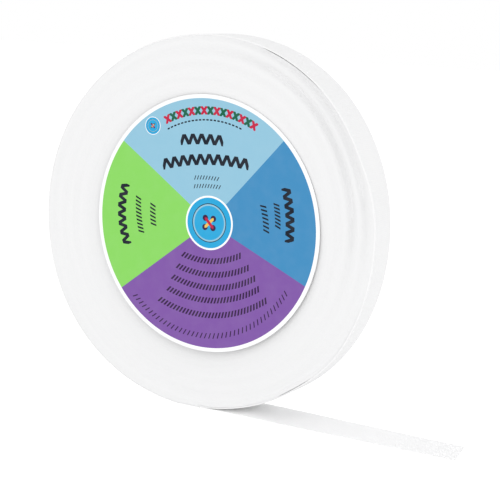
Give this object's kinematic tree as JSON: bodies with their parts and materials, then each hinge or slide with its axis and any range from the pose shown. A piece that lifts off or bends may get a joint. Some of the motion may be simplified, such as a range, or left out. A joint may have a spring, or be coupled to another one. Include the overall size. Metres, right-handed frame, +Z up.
{
  "type": "roll of elastic",
  "caption": "Flat round roll of wide white knit elastic, standing on its rim, with a round card label on its wound face and a loose end lying along the surface.",
  "frame": {"origin": "middle of the roll's small flat spot, straight under its axis, on the surface it stands on", "axes": "+X along the loose end, -Y out of the labelled face along the roll's axis, +Z up"},
  "size_m": [0.2791, 0.0281, 0.2213],
  "materials": {
    "white_elastic": "matte knit",
    "label_card": "smooth printed card"
  },
  "bodies": {
    "root": {"wound_roll": "white_elastic", "loose_end": "white_elastic", "label_card": "label_card"}
  },
  "joints": []
}
